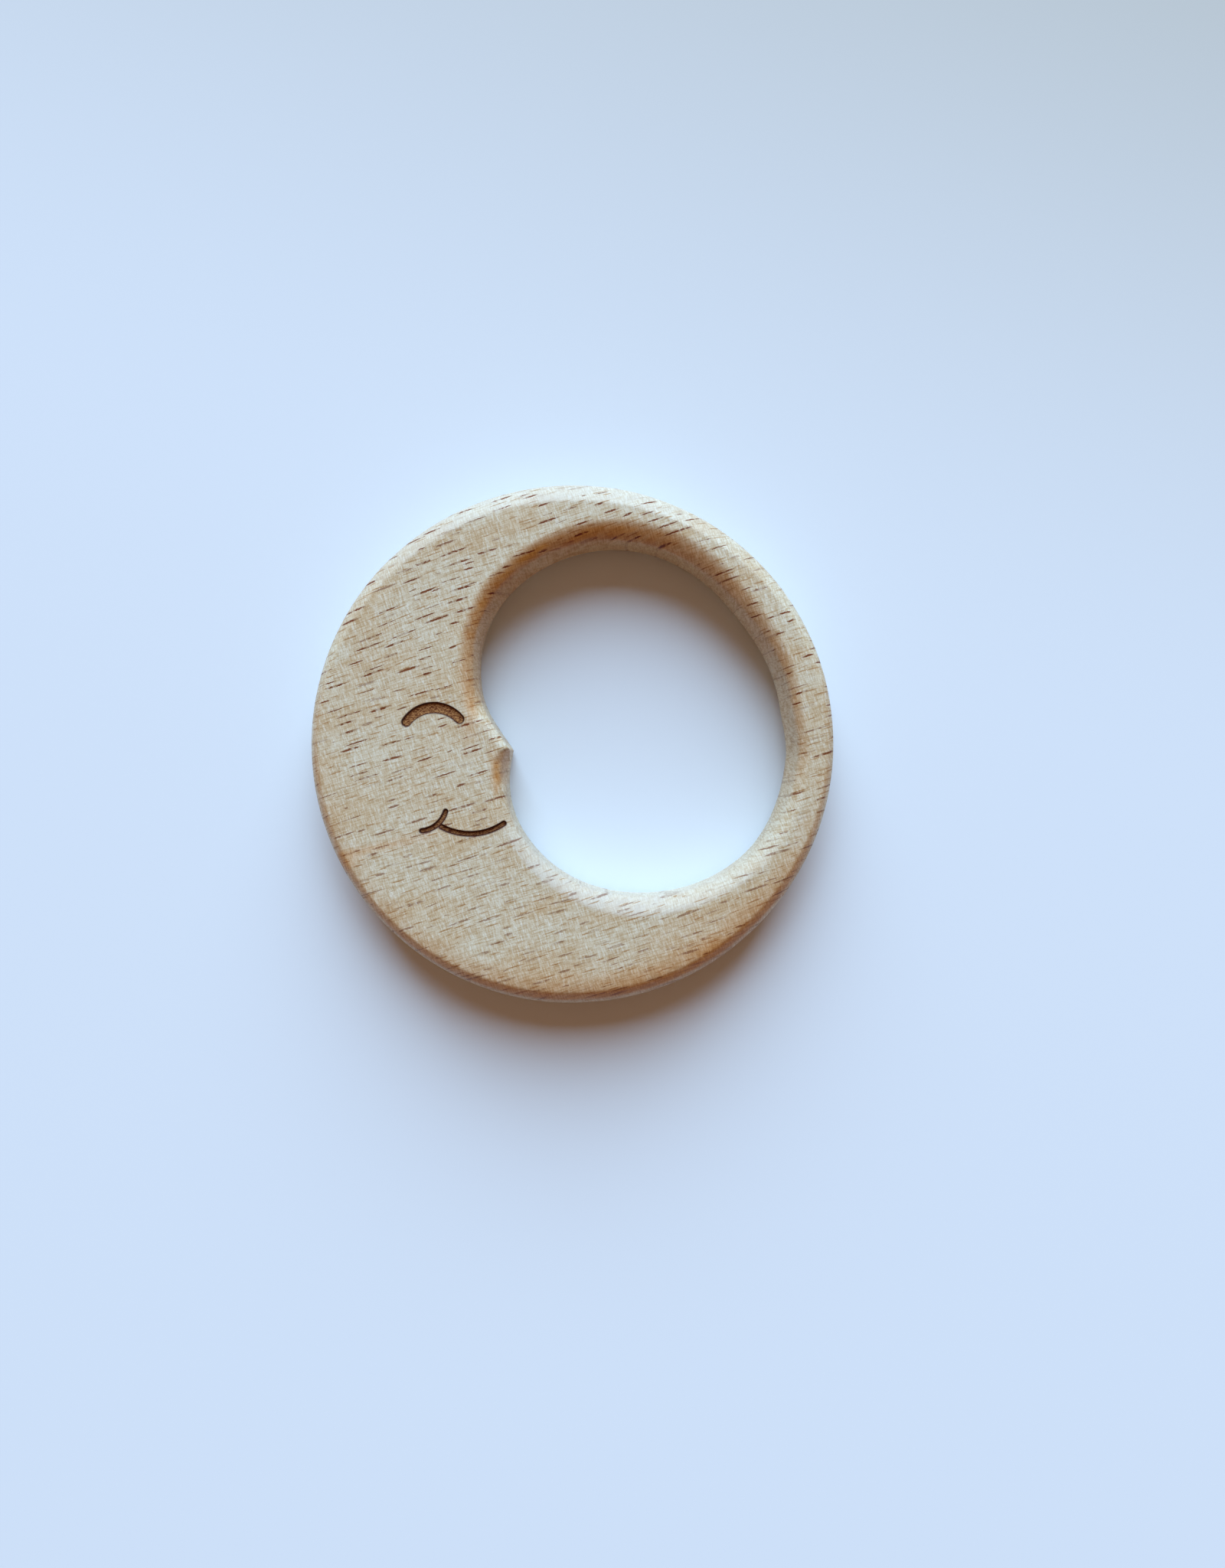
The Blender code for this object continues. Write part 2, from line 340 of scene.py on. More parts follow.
class Groove:
    """A band along an arc, with round ends, sunk into the front face."""

    def __init__(self, arc, end_width, middle_width, depth, paleness):
        first, middle, last = (np.array(point, float) for point in arc)
        self.centre, self.radius = circle_through(first, middle, last)
        self.start = math.atan2(*(first - self.centre)[::-1])
        finish = math.atan2(*(last - self.centre)[::-1])
        turn = (finish - self.start) % math.tau
        middle_turn = (math.atan2(*(middle - self.centre)[::-1]) - self.start) % math.tau
        self.sweep = turn if middle_turn < turn else turn - math.tau
        self.end_width, self.middle_width = end_width, middle_width
        self.depth, self.paleness = depth, paleness

    def half_width(self, share):
        return 0.5 * (self.end_width + (self.middle_width - self.end_width) * np.sin(math.pi * share))

    def point(self, share):
        angle = self.start + self.sweep * share
        return self.centre + self.radius * np.column_stack((np.cos(angle), np.sin(angle)))

    def distance(self, points):
        """Distance to the groove's edge, negative inside."""
        spoke = points - self.centre
        angle = np.arctan2(spoke[:, 1], spoke[:, 0]) - self.start
        # The angle is counted from the arc's middle, so that neither end meets the seam.
        angle = (angle - self.sweep / 2.0 + math.pi) % math.tau - math.pi + self.sweep / 2.0
        share = np.clip(angle / self.sweep, 0.0, 1.0)
        nearest = self.point(share)
        return np.hypot(*(points - nearest).T) - self.half_width(share)

    def line(self, offset, step):
        """Points this far outside the groove's edge, all the way round."""
        count = max(4, round(abs(self.sweep) * self.radius / step))
        share = np.linspace(0.0, 1.0, count + 1)
        middle = self.point(share)
        out = (middle - self.centre) / self.radius
        reach = (self.half_width(share) + offset)[:, None]
        rounds = []
        for end, way in ((0, -1.0), (-1, 1.0)):
            ahead = way * math.copysign(1.0, self.sweep) * np.array((-out[end][1], out[end][0]))
            turns = max(3, round(math.pi * reach[end][0] / step))
            angle = np.linspace(0.0, math.pi, turns + 1)[1:-1, None]
            spoke = np.cos(angle) * out[end] + np.sin(angle) * ahead
            rounds.append(middle[end] + spoke * reach[end])
        return np.vstack((middle + out * reach, middle - out * reach, *rounds))


MARKS = [Groove(*groove) for groove in GROOVES]


def groove_distance(points):
    """Distance to the nearest groove's edge, negative inside, and that groove's depth and paleness."""
    distances = np.array([mark.distance(points) for mark in MARKS])
    nearest = distances.argmin(0)
    depth = np.array([mark.depth for mark in MARKS])[nearest]
    paleness = np.array([mark.paleness for mark in MARKS])[nearest]
    return distances.min(0), depth, paleness


# ---------------------------------------------------------------- the points of each face


def inset_line(share, extra):
    """Points in from every edge, by this share of the easing's width and this much more."""
    lines = []
    for loop in (OUTER, HOLE):
        along = np.roll(loop, -1, axis=0) - np.roll(loop, 1, axis=0)
        along /= np.hypot(*along.T)[:, None]
        reach = share * Easing(loop).width + extra
        line = loop + reach[:, None] * np.column_stack((-along[:, 1], along[:, 0]))
        lines.append(line[edge_distance(line) > NEAREST_SHARE * reach - NEAREST_SLACK])
    return np.vstack(lines)


def hexagonal_grid(step, x0, x1, y0, y1):
    rows = np.arange(y0, y1, step * math.sqrt(0.75))
    columns = np.arange(x0, x1, step)
    x = columns[None] + (np.arange(len(rows)) % 2)[:, None] * step / 2.0
    return np.column_stack((x.ravel(), np.repeat(rows, len(columns))))


class Cloud:
    """Points that keep a least distance from each other, kept in square cells."""

    CELL = 0.2

    def __init__(self):
        self.points = []
        self.cells = {}

    def add(self, points, gap):
        reach = math.ceil(gap / self.CELL)
        for x, y in points:
            column, row = math.floor(x / self.CELL), math.floor(y / self.CELL)
            near = (
                other
                for i in range(column - reach, column + reach + 1)
                for j in range(row - reach, row + reach + 1)
                for other in self.cells.get((i, j), ())
            )
            if all((x - a) ** 2 + (y - b) ** 2 >= gap**2 for a, b in near):
                self.points.append((x, y))
                self.cells.setdefault((column, row), []).append((x, y))


class Easing:
    """The eased edge at some points: each one's distance to the nearest edge and what it is like."""

    def __init__(self, points):
        to_hole, place = nearest_on_hole(points)
        to_outside = OUTER_RADIUS - np.hypot(points[:, 0], points[:, 1])
        self.distance = np.minimum(to_hole, to_outside)
        self.at_hole = to_hole < to_outside
        spots, *hole_columns = zip(*HOLE_EDGE)
        places = [np.hypot(*(HOLE - spot).T).argmin() for spot in spots]
        width, steep, bare, tone = (
            np.interp(place, places, column, period=len(HOLE)) for column in hole_columns
        )
        angle = np.degrees(np.arctan2(points[:, 1], points[:, 0]))
        angles, *outside_columns = zip(*OUTSIDE_EDGE)
        outside_width, roll, outside_tone = (
            np.interp(angle, angles, column, period=360.0) for column in outside_columns
        )
        self.width = np.where(self.at_hole, width, outside_width)
        self.steep = np.where(self.at_hole, steep, 0.0)
        self.bare = np.where(self.at_hole, bare, 0.0)
        self.roll = np.where(self.at_hole, 0.0, roll)
        self.tone = np.where(self.at_hole, tone, outside_tone)

    def drop(self):
        """How far the surface lies below the face."""
        first, last = (
            np.radians(np.where(self.at_hole, *ends)) for ends in zip(HOLE_SLOPES, OUTSIDE_SLOPES)
        )
        curved = self.width * (1.0 - self.steep)
        radius = curved / (np.sin(last) - np.sin(first))
        past = np.clip(self.width - self.distance, 0.0, curved)
        curve = radius * (np.cos(first) - np.sqrt(1.0 - (np.sin(first) + past / radius) ** 2))
        steep = math.tan(STEEP_SLOPE) * np.maximum(self.width * self.steep - self.distance, 0.0)
        softness = np.where(self.at_hole, HOLE_SOFTNESS, OUTSIDE_SOFTNESS)
        softness = np.minimum(softness, SOFTNESS_LIMIT * self.width)
        near = np.clip(self.width - self.distance + softness, 0.0, 2.0 * softness)
        soft = near**2 / (4.0 * softness) - np.maximum(near - softness, 0.0)
        reached = np.maximum(self.width + ROLL_REACH - self.distance, 0.0)
        within = np.minimum(reached, ROLL_REACH)
        roll = within**2 / (2.0 * ROLL_REACH) + reached - within
        return curve + steep + np.tan(first) * soft + np.tan(np.radians(self.roll)) * roll

    def painted(self):
        """How brown (above zero) or pale (below zero) the surface is: painted shade and light, partly
        burn and sanding.
        """
        share = self.distance / self.width
        brown = self.tone > 0.0
        hole_rise = (share - self.bare) / HOLE_BROWN_RISE + 0.5
        outside_rise = (share - OUTSIDE_BROWN_START) / OUTSIDE_BROWN_RISE
        rise = np.where(self.at_hole, hole_rise, outside_rise)
        rise = np.maximum(rise, np.where(self.at_hole & (self.bare < BARE_WALL), WALL_SHARE, 0.0))
        fall = (TONE_END - share) / np.where(self.at_hole & brown, HOLE_BROWN_FALL, TONE_FALL)
        band = self.tone * np.clip(np.where(brown, rise, 1.0), 0.0, 1.0) * np.clip(fall, 0.0, 1.0)
        # Outside, the brown reaches past the crease as a halo of painted shade.
        fade = np.clip(1.0 - (self.distance - self.width) / SHADE_HALO_REACH, 0.0, 1.0)
        in_shade_halo = brown & ~self.at_hole & (self.distance >= self.width)
        halo = np.where(in_shade_halo, SHADE_HALO_SHARE * fade * self.tone**2, 0.0)
        return np.maximum(band, halo) + np.minimum(band, 0.0)


def face_points(with_grooves):
    cloud = Cloud()
    cloud.add(OUTER, 0.0)
    cloud.add(HOLE, 0.0)
    if with_grooves:
        for offset, step in GROOVE_LINES:
            for mark in MARKS:
                line = mark.line(offset, step)
                line = line[np.abs(groove_distance(line)[0] - offset) < LINE_TOLERANCE]
                line = line[edge_distance(line) > RIM_GAP]
                cloud.add(line, min(GROOVE_LINE_GAP, step / 2.0))
        grid = hexagonal_grid(GROOVE_STEP, *GROOVE_AREA)
        cloud.add(grid[groove_distance(grid)[0] < -GROOVE_INSET], GROOVE_GAP)
    least_gap, most_gap = EASED_GAPS
    for step in range(1, EASED_STEPS + 1):
        share = (step / EASED_STEPS) ** EASED_CROWDING
        cloud.add(inset_line(share, 0.0), min(most_gap, max(least_gap, EASED_GAP_PER_SHARE * share)))
    for extra in PAST_CREASE:
        cloud.add(inset_line(1.0, extra), min(most_gap, extra))
    grid = hexagonal_grid(FACE_STEP, -OUTER_RADIUS, OUTER_RADIUS, -OUTER_RADIUS, OUTER_RADIUS)
    eased = Easing(grid)
    grid = grid[eased.distance > eased.width + PAST_CREASE[-1] + FACE_CLEARANCE]
    if with_grooves:
        outermost_line = GROOVE_LINES[-1][0]
        grid = grid[groove_distance(grid)[0] > outermost_line]
    cloud.add(grid, FACE_GAP)
    return np.array(cloud.points)


def triangulated(points):
    """Triangles of the moon between its two outlines, whose points come first, and their edges."""
    rims = []
    for count, first in ((len(OUTER), 0), (len(HOLE), len(OUTER))):
        rims += [(first + i, first + (i + 1) % count) for i in range(count)]
    flat = [Vector(point) for point in points]
    found, _, triangles, *_ = delaunay_2d_cdt(flat, rims, [], INSIDE_OUTLINES, MERGE_WITHIN)
    if len(found) != len(points):
        raise RuntimeError("the outlines cross a point of the face")
    triangles = np.array(triangles)
    middles = points[triangles].mean(1)
    return triangles[hole_distance(middles) > 0.0], np.array(rims)


# ---------------------------------------------------------------- the ring's mesh


def soft_noise(points, size, seed):
    """A smooth random field between about -1 and 1, with features of this size."""
    shift = Vector([seed * step for step in SEED_SHIFT])
    return np.array([noise.noise(Vector(point) / size + shift) for point in points])


def warp(points):
    """The points, moved as hand sanding leaves them."""
    moved = points.copy()
    for size, height, seed in UNEVENNESS:
        for axis, share in enumerate(UNEVEN_SHARES):
            moved[:, axis] += height * share * soft_noise(points, size, seed + axis)
    return moved


def stains_and_shade(points):
    """How much browner the patches of the front make each point; the one under the nose is painted
    shade.
    """
    amount = np.zeros(len(points))
    for centre, half_length, half_width, heading, strength in STAINS_AND_SHADE:
        along = np.array(heading_vector(heading))
        offset = points - centre
        reach = np.hypot(offset @ along / half_length, offset @ (-along[1], along[0]) / half_width)
        amount += strength * np.exp(-(reach**2))
    return amount


def groove_floor(points, depth):
    """How deep a groove's floor lies at each point, rough and hatched as the cutter left it."""
    rough = soft_noise(np.column_stack((points, depth)), FLOOR_ROUGH_SIZE, FLOOR_ROUGH_SEED)
    along = points[:, 0] * HATCH_WAY[0] + points[:, 1] * HATCH_WAY[1]
    hatch = np.sin(math.tau * along / HATCH_STEP)
    return depth * (1.0 + FLOOR_ROUGHNESS * rough + HATCH_DEPTH * hatch)


def upright_share(edges):
    """How much of a wall the surface is, on the steep part of the hole's edge."""
    upright = (edges.steep - edges.distance / edges.width) / STEEP_FADE + 0.5
    return np.where(edges.steep > 0.0, np.clip(upright, 0.0, 1.0), 0.0)


def ring_faces(front_triangles, back_triangles, rims, front_count, back_count, rim_count):
    """Triangles of the front, the back and the walls, whose rows of points follow the back's."""
    first_row = front_count + back_count
    rows = [0] + [first_row + rim_count * row for row in range(WALL_ROWS)] + [front_count]
    faces = [front_triangles, back_triangles[:, ::-1] + front_count]
    a, b = rims[:, 0], rims[:, 1]
    for upper, lower in zip(rows[:-1], rows[1:]):
        faces.append(np.column_stack((a + upper, a + lower, b + lower)))
        faces.append(np.column_stack((a + upper, b + lower, b + upper)))
    return np.vstack(faces)


def build_ring():
    front = face_points(True)
    back = face_points(False)
    front_triangles, rims = triangulated(front)
    back_triangles, _ = triangulated(back)
    rim_count = len(OUTER) + len(HOLE)

    def eased(points):
        edges = Easing(points)
        edges.distance[:rim_count] = 0.0
        edges.at_hole[:rim_count] = np.arange(rim_count) >= len(OUTER)
        return edges

    front_edges, back_edges = eased(front), eased(back)
    sunk, depth, paleness = groove_distance(front)
    in_groove = np.clip(-sunk / GROOVE_WALL, 0.0, 1.0)
    front_z = THICKNESS - front_edges.drop() - in_groove * groove_floor(front, depth)
    back_z = BACK_SHARE * back_edges.drop()

    rim = front[:rim_count]
    rim_top, rim_bottom = front_z[:rim_count], back_z[:rim_count]
    vertices = [np.column_stack((front, front_z)), np.column_stack((back, back_z))]
    for row in range(1, WALL_ROWS + 1):
        height = rim_top + (rim_bottom - rim_top) * row / (WALL_ROWS + 1)
        vertices.append(np.column_stack((rim, height)))
    vertices = np.vstack(vertices)

    # The tone paints shade (brown) and light (pale) on the eased edges, partly real burn and sanding;
    # the wall and the back take shares of it.
    wall_tone = front_edges.tone[:rim_count] * (front_edges.bare[:rim_count] < BARE_WALL)
    wall_tone *= np.where(wall_tone > 0.0, WALL_SHARE, PALE_WALL_SHARE)
    front_tone = front_edges.painted() + stains_and_shade(front)
    back_tone = BACK_TONE_SHARE * back_edges.painted()
    elsewhere = np.zeros(len(vertices) - len(front))
    floor_share = np.clip((-sunk - FLOOR_EDGE) / FLOOR_EDGE_SOFTNESS, 0.0, 1.0)
    scorched = np.clip(BURN_AT_EDGE - sunk / BURN_FADE, 0.0, 1.0)
    on_walls = np.ones(rim_count * WALL_ROWS)
    looks = {
        "tone": np.concatenate((front_tone, back_tone, np.tile(wall_tone, WALL_ROWS))),
        "burn": np.concatenate((scorched, elsewhere)),
        "groove": np.concatenate((floor_share * paleness, elsewhere)),
        "wall": np.concatenate((upright_share(front_edges), np.zeros(len(back)), on_walls)),
    }

    faces = ring_faces(front_triangles, back_triangles, rims, len(front), len(back), rim_count)
    mesh = bpy.data.meshes.new("moon_ring_wood")
    mesh.from_pydata(warp(vertices) * MM, [], faces.tolist())
    mesh.update()
    for name, values in looks.items():
        mesh.attributes.new(name, "FLOAT", "POINT").data.foreach_set("value", values)
    mesh.shade_smooth()
    ring = bpy.data.objects.new("moon_ring_wood", mesh)
    bpy.context.collection.objects.link(ring)
    return ring


# ---------------------------------------------------------------- the wood's material


def rgb(red, green, blue):
    return (red, green, blue, 1.0)


GRAIN_ANGLE = math.radians(18.0)
GRAIN_SWING = 1.0

# Noises of the wood: the size in millimetres of their features along the grain, across it and in
# depth, then the detail, the roughness and a shift.
BEND_NOISE = ((30.0, 9.0, 30.0), 1.0)
PATCH_NOISE = ((13.0, 5.0, 16.0), 3.0, 0.55)
STREAK_NOISE = ((2.6, 0.20, 1.2), 3.0, 0.70)
SANDING_NOISE = ((0.19, 1.1, 2.0), 3.0, 0.70, (9.1, 3.3, 0.0))
EDGE_TONE_NOISE = ((2.4, 0.9, 3.0), 3.0, 0.5, (1.0, 7.0, 0.0))
FLECK_NOISE = ((0.30, 0.9, 3.0), 2.0, 0.6)
FLECK_FADE_NOISE = ((0.85, 0.8, 3.0), 1.0, 0.5, (2.0, 5.0, 0.0))
CHAR_NOISE = ((0.42, 0.16, 0.3), 3.0, 0.65)
PORE_NOISE = ((1.2, 0.09, 0.2), 2.0, 0.6)

# Ramps of those noises and of the mesh's attributes: the input that gives the first output and the
# one that gives the second, which are 0 and 1 where they aren't named.
WARM_RAMP = (0.40, 0.66)
STREAK_RAMP = (0.60, 0.34)
FIBRE_RAMP = (0.58, 0.34, 0.0, 0.9)
FUZZ_RAMP = (0.54, 0.68)
SMOOTHER_RAMP = (0.0, 1.0, 1.0, 0.35)
BROWN_RAMP = (0.30, 0.60, 0.75, 1.0)
SANDED_AND_LIT_RAMP = (0.30, 0.65, -0.95, -0.60)
SANDED_AND_LIT_FIBRE_RAMP = (0.42, 0.62, 0.30, -0.10)
FLECK_FADE_RAMP = (0.36, 0.52, 0.35, 1.0)
CHIN_TO_BROW_RAMP = (-26.0, 4.0, 0.62, 1.0)
CHAR_RAMP = (0.40, 0.58)
CHAR_FLOOR_RAMP = (0.35, 1.0)
SHEEN_RAMP = (0.3, 0.9, 0.42, 0.56)

# Colours that the wood mixes between, and tints that multiply them.
PALE_WOOD = rgb(0.695, 0.650, 0.508)
WARM_WOOD = rgb(0.650, 0.550, 0.380)
FUZZ = rgb(0.84, 0.86, 0.79)
# Painted light, partly sanding: the greyer colour of the edges that face the light.
SANDED_AND_LIT_WOOD = rgb(0.545, 0.505, 0.445)
CHAR_WALL = rgb(0.050, 0.005, 0.0006)
CHAR_DARK = rgb(0.13, 0.030, 0.005)
CHAR_BROWN = rgb(0.44, 0.215, 0.075)
STREAK_TINT = rgb(0.80, 0.70, 0.58)
FIBRE_TINT = rgb(0.80, 0.68, 0.55)
# Painted shade, partly the cutter's burn: the brown tint of the edges that face away from the light.
BROWN_TINT = rgb(0.87, 0.45, 0.13)
SANDED_AND_LIT_FIBRE_TINT = rgb(0.80, 0.72, 0.62)
FAINT_FLECK_TINT = rgb(0.62, 0.38, 0.18)
STRONG_FLECK_TINT = rgb(0.30, 0.090, 0.022)
FUZZ_AMOUNT = 0.40
FAINT_FLECK_AMOUNT = 0.75

# Ray flecks: the size of the cells that hold one each, the shortest and longest half length and the
# half width, in millimetres, and a shift of the cells. Then how irregularly the cells lie, the
# chance that a cell's fleck has to reach to start and to be full, how wavy and how thin a fleck is
# for its half width, and where its outline fades, counted from its middle (0) past its edge (1).
FAINT_FLECKS = ((3.6, 1.25, 17.0), (0.5, 1.5), 0.075, (3.7, 1.9, 0.4))
STRONG_FLECKS = ((5.2, 1.40, 19.0), (0.6, 2.2), 0.115, (0.3, 0.6, 0.2))
FLECK_SCATTER = 0.9
FLECK_PRESENCE = (0.12, 0.45)
FLECK_WAVE = 1.8
FLECK_THINNEST = 0.6
FLECK_SPREAD = 0.9
FLECK_EDGE = (1.4, 0.5)

# The oiled wood's sheen, how much rougher the fuzz, the pale-toned edges and the scorch are, and how
# far the bump rises for the flecks, the fuzz and the grooves' floors as a share of the pores' height,
# which is in millimetres.
SPECULAR_LEVEL = 0.32
FUZZ_ROUGHER = 0.3
SANDED_AND_LIT_ROUGHER = 0.25
BURN_ROUGHER = 0.35
FLECK_RISE = -0.9
FUZZ_RISE = 0.7
CHAR_RISE = 4.0
BUMP_STRENGTH = 0.6
BUMP_HEIGHT = 0.022


class Tree:
    """Short ways to add nodes to a material."""

    def __init__(self, material):
        material.use_nodes = True
        self.nodes = material.node_tree.nodes
        self.links = material.node_tree.links
        self.shader = self.nodes["Principled BSDF"]

    def set(self, socket, value):
        if isinstance(value, bpy.types.NodeSocket):
            self.links.new(value, socket)
        else:
            socket.default_value = value

    def add(self, kind, inputs, **settings):
        node = self.nodes.new(kind)
        for name, value in settings.items():
            setattr(node, name, value)
        for key, value in inputs.items():
            self.set(node.inputs[key], value)
        return node

    def math(self, operation, a, b=0.0, c=0.0):
        return self.add("ShaderNodeMath", {0: a, 1: b, 2: c}, operation=operation).outputs[0]

    def vector(self, operation, a, b):
        return self.add("ShaderNodeVectorMath", {0: a, 1: b}, operation=operation).outputs[0]

    def ramp(self, value, from_first, from_second, to_first=0.0, to_second=1.0):
        inputs = {"Value": value, "From Min": from_first, "From Max": from_second}
        inputs.update({"To Min": to_first, "To Max": to_second})
        return self.add("ShaderNodeMapRange", inputs, interpolation_type="SMOOTHSTEP").outputs[0]

    def scaled(self, vector, sizes, shift=(0.0, 0.0, 0.0)):
        inputs = {0: vector, 1: tuple(1.0 / size for size in sizes), 2: shift}
        return self.add("ShaderNodeVectorMath", inputs, operation="MULTIPLY_ADD").outputs[0]

    def noise(self, vector, sizes, detail, rough=0.5, shift=(0.0, 0.0, 0.0)):
        place = self.scaled(vector, sizes, shift)
        inputs = {"Vector": place, "Scale": 1.0, "Detail": detail, "Roughness": rough}
        return self.add("ShaderNodeTexNoise", inputs).outputs["Fac"]

    def mix(self, factor, a, b, blend="MIX"):
        node = self.add("ShaderNodeMix", {0: factor}, data_type="RGBA", blend_type=blend)
        self.set(node.inputs[6], a)
        self.set(node.inputs[7], b)
        return node.outputs[2]

    def tint(self, factor, a, b):
        return self.mix(factor, a, b, "MULTIPLY")

    def attribute(self, name):
        return self.add("ShaderNodeAttribute", {}, attribute_name=name).outputs["Fac"]


def wood_place(tree):
    """The place in the wood in millimetres: as it lies, and along, across and into the grain."""
    here = tree.add("ShaderNodeTexCoord", {}).outputs["Object"]
    millimetres = tree.scaled(here, (MM, MM, MM))
    inputs = {"Vector": millimetres, "Angle": -GRAIN_ANGLE}
    turned = tree.add("ShaderNodeVectorRotate", inputs, rotation_type="Z_AXIS").outputs[0]
    bend = tree.noise(turned, *BEND_NOISE)
    swing = tree.math("MULTIPLY_ADD", bend, 2.0 * GRAIN_SWING, -GRAIN_SWING)
    sideways = tree.add("ShaderNodeCombineXYZ", {1: swing}).outputs[0]
    return millimetres, tree.vector("ADD", turned, sideways)


def ray_flecks(tree, grain, cell, half_length, half_width, shift):
    """The cut ends of the beech's rays: short dark dashes along the grain, one in most cells."""
    placed = tree.scaled(grain, cell, shift)
    inputs = {"Vector": placed, "Scale": 1.0, "Randomness": FLECK_SCATTER}
    cells = tree.add("ShaderNodeTexVoronoi", inputs, feature="F1")
    local = tree.vector("SUBTRACT", placed, cells.outputs["Position"])
    split = tree.add("ShaderNodeSeparateXYZ", {0: local})
    chance = tree.add("ShaderNodeSeparateXYZ", {0: cells.outputs["Color"]})
    wobble = tree.noise(grain, *FLECK_NOISE, shift)
    wave = tree.math("SUBTRACT", wobble, 0.5)
    along = tree.math("MULTIPLY", split.outputs[0], cell[0])
    across = tree.math("MULTIPLY", split.outputs[1], cell[1])
    across = tree.math("MULTIPLY_ADD", wave, half_width * FLECK_WAVE, across)
    shortest, longest = half_length
    length = tree.math("MULTIPLY_ADD", chance.outputs[0], longest - shortest, shortest)
    spread, thinnest = half_width * FLECK_SPREAD, half_width * FLECK_THINNEST
    width = tree.math("MULTIPLY_ADD", chance.outputs[1], spread, thinnest)
    x = tree.math("POWER", tree.math("ABSOLUTE", tree.math("DIVIDE", along, length)), 2.0)
    y = tree.math("POWER", tree.math("ABSOLUTE", tree.math("DIVIDE", across, width)), 2.0)
    shape = tree.ramp(tree.math("ADD", x, y), *FLECK_EDGE)
    present = tree.ramp(chance.outputs[2], *FLECK_PRESENCE)
    return tree.math("MULTIPLY", shape, present)


def bare_wood(tree, grain, fibres, fuzz):
    """Pale and warm patches, streaks along the grain, and fibres raised by sanding across it."""
    patches = tree.ramp(tree.noise(grain, *PATCH_NOISE), *WARM_RAMP)
    colour = tree.mix(patches, PALE_WOOD, WARM_WOOD)
    streaks = tree.ramp(tree.noise(grain, *STREAK_NOISE), *STREAK_RAMP)
    colour = tree.tint(streaks, colour, STREAK_TINT)
    colour = tree.tint(tree.ramp(fibres, *FIBRE_RAMP), colour, FIBRE_TINT)
    return tree.mix(tree.math("MULTIPLY", fuzz, FUZZ_AMOUNT), colour, FUZZ)


def toned(tree, colour, grain, fibres):
    """The colour, browned where the tone is above zero and made greyer where it is below: painted
    shade and light, partly burn and sanding.
    """
    tone = tree.attribute("tone")
    uneven = tree.noise(grain, *EDGE_TONE_NOISE)
    brown = tree.math("MAXIMUM", tone, 0.0)
    brown = tree.math("MULTIPLY", brown, tree.ramp(uneven, *BROWN_RAMP))
    colour = tree.tint(brown, colour, BROWN_TINT)
    sanded_and_lit = tree.math("MINIMUM", tone, 0.0)
    sanded_and_lit = tree.math("MULTIPLY", sanded_and_lit, tree.ramp(uneven, *SANDED_AND_LIT_RAMP))
    colour = tree.mix(sanded_and_lit, colour, SANDED_AND_LIT_WOOD)
    fibres = tree.math("MULTIPLY", sanded_and_lit, tree.ramp(fibres, *SANDED_AND_LIT_FIBRE_RAMP))
    return tree.tint(fibres, colour, SANDED_AND_LIT_FIBRE_TINT), sanded_and_lit


def flecked(tree, colour, grain, millimetres, smoother):
    """The colour with both kinds of fleck, and the strong ones, which fade towards the chin."""
    faint = ray_flecks(tree, grain, *FAINT_FLECKS)
    faint = tree.math("MULTIPLY", faint, tree.math("MULTIPLY", smoother, FAINT_FLECK_AMOUNT))
    colour = tree.tint(faint, colour, FAINT_FLECK_TINT)
    strong = ray_flecks(tree, grain, *STRONG_FLECKS)
    fade = tree.ramp(tree.noise(grain, *FLECK_FADE_NOISE), *FLECK_FADE_RAMP)
    strong = tree.math("MULTIPLY", strong, fade)
    strong = tree.math("MULTIPLY", strong, smoother)
    chin_to_brow = tree.add("ShaderNodeSeparateXYZ", {"Vector": millimetres}).outputs["Y"]
    strong = tree.math("MULTIPLY", strong, tree.ramp(chin_to_brow, *CHIN_TO_BROW_RAMP))
    return tree.tint(strong, colour, STRONG_FLECK_TINT), strong


